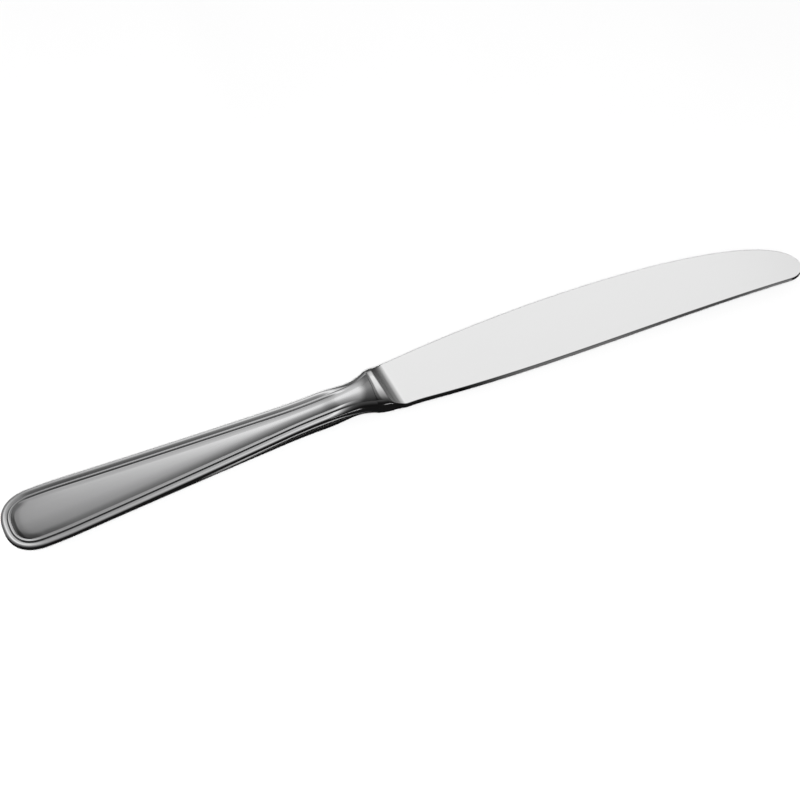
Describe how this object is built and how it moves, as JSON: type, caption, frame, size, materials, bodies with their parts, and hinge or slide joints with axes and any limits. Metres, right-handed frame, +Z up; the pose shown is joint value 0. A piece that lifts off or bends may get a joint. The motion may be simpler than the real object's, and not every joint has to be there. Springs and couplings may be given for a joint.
{
  "type": "dessert knife",
  "caption": "Dessert knife with a round-tipped blade, a stepped bolster and a tapered hollow handle edged by a double thread rim.",
  "frame": {"origin": "middle of the knife's box, on the surface that the knife lies on", "axes": "+X along the handle's axis towards the blade's tip, +Y towards the cutting edge, +Z up out of the front face"},
  "size_m": [0.2106, 0.019, 0.0087],
  "materials": {
    "blade_steel": "mirror polished, with fine lengthwise polishing lines",
    "handle_steel": "polished, with the panel slightly softer than the beads",
    "braze": "ground and polished flush",
    "cement": "matt and grainy"
  },
  "bodies": {
    "root": {"blade": "blade_steel", "front_handle_shell": "handle_steel", "back_handle_shell": "handle_steel", "seam_braze": "braze", "handle_cement": "cement"}
  },
  "joints": []
}
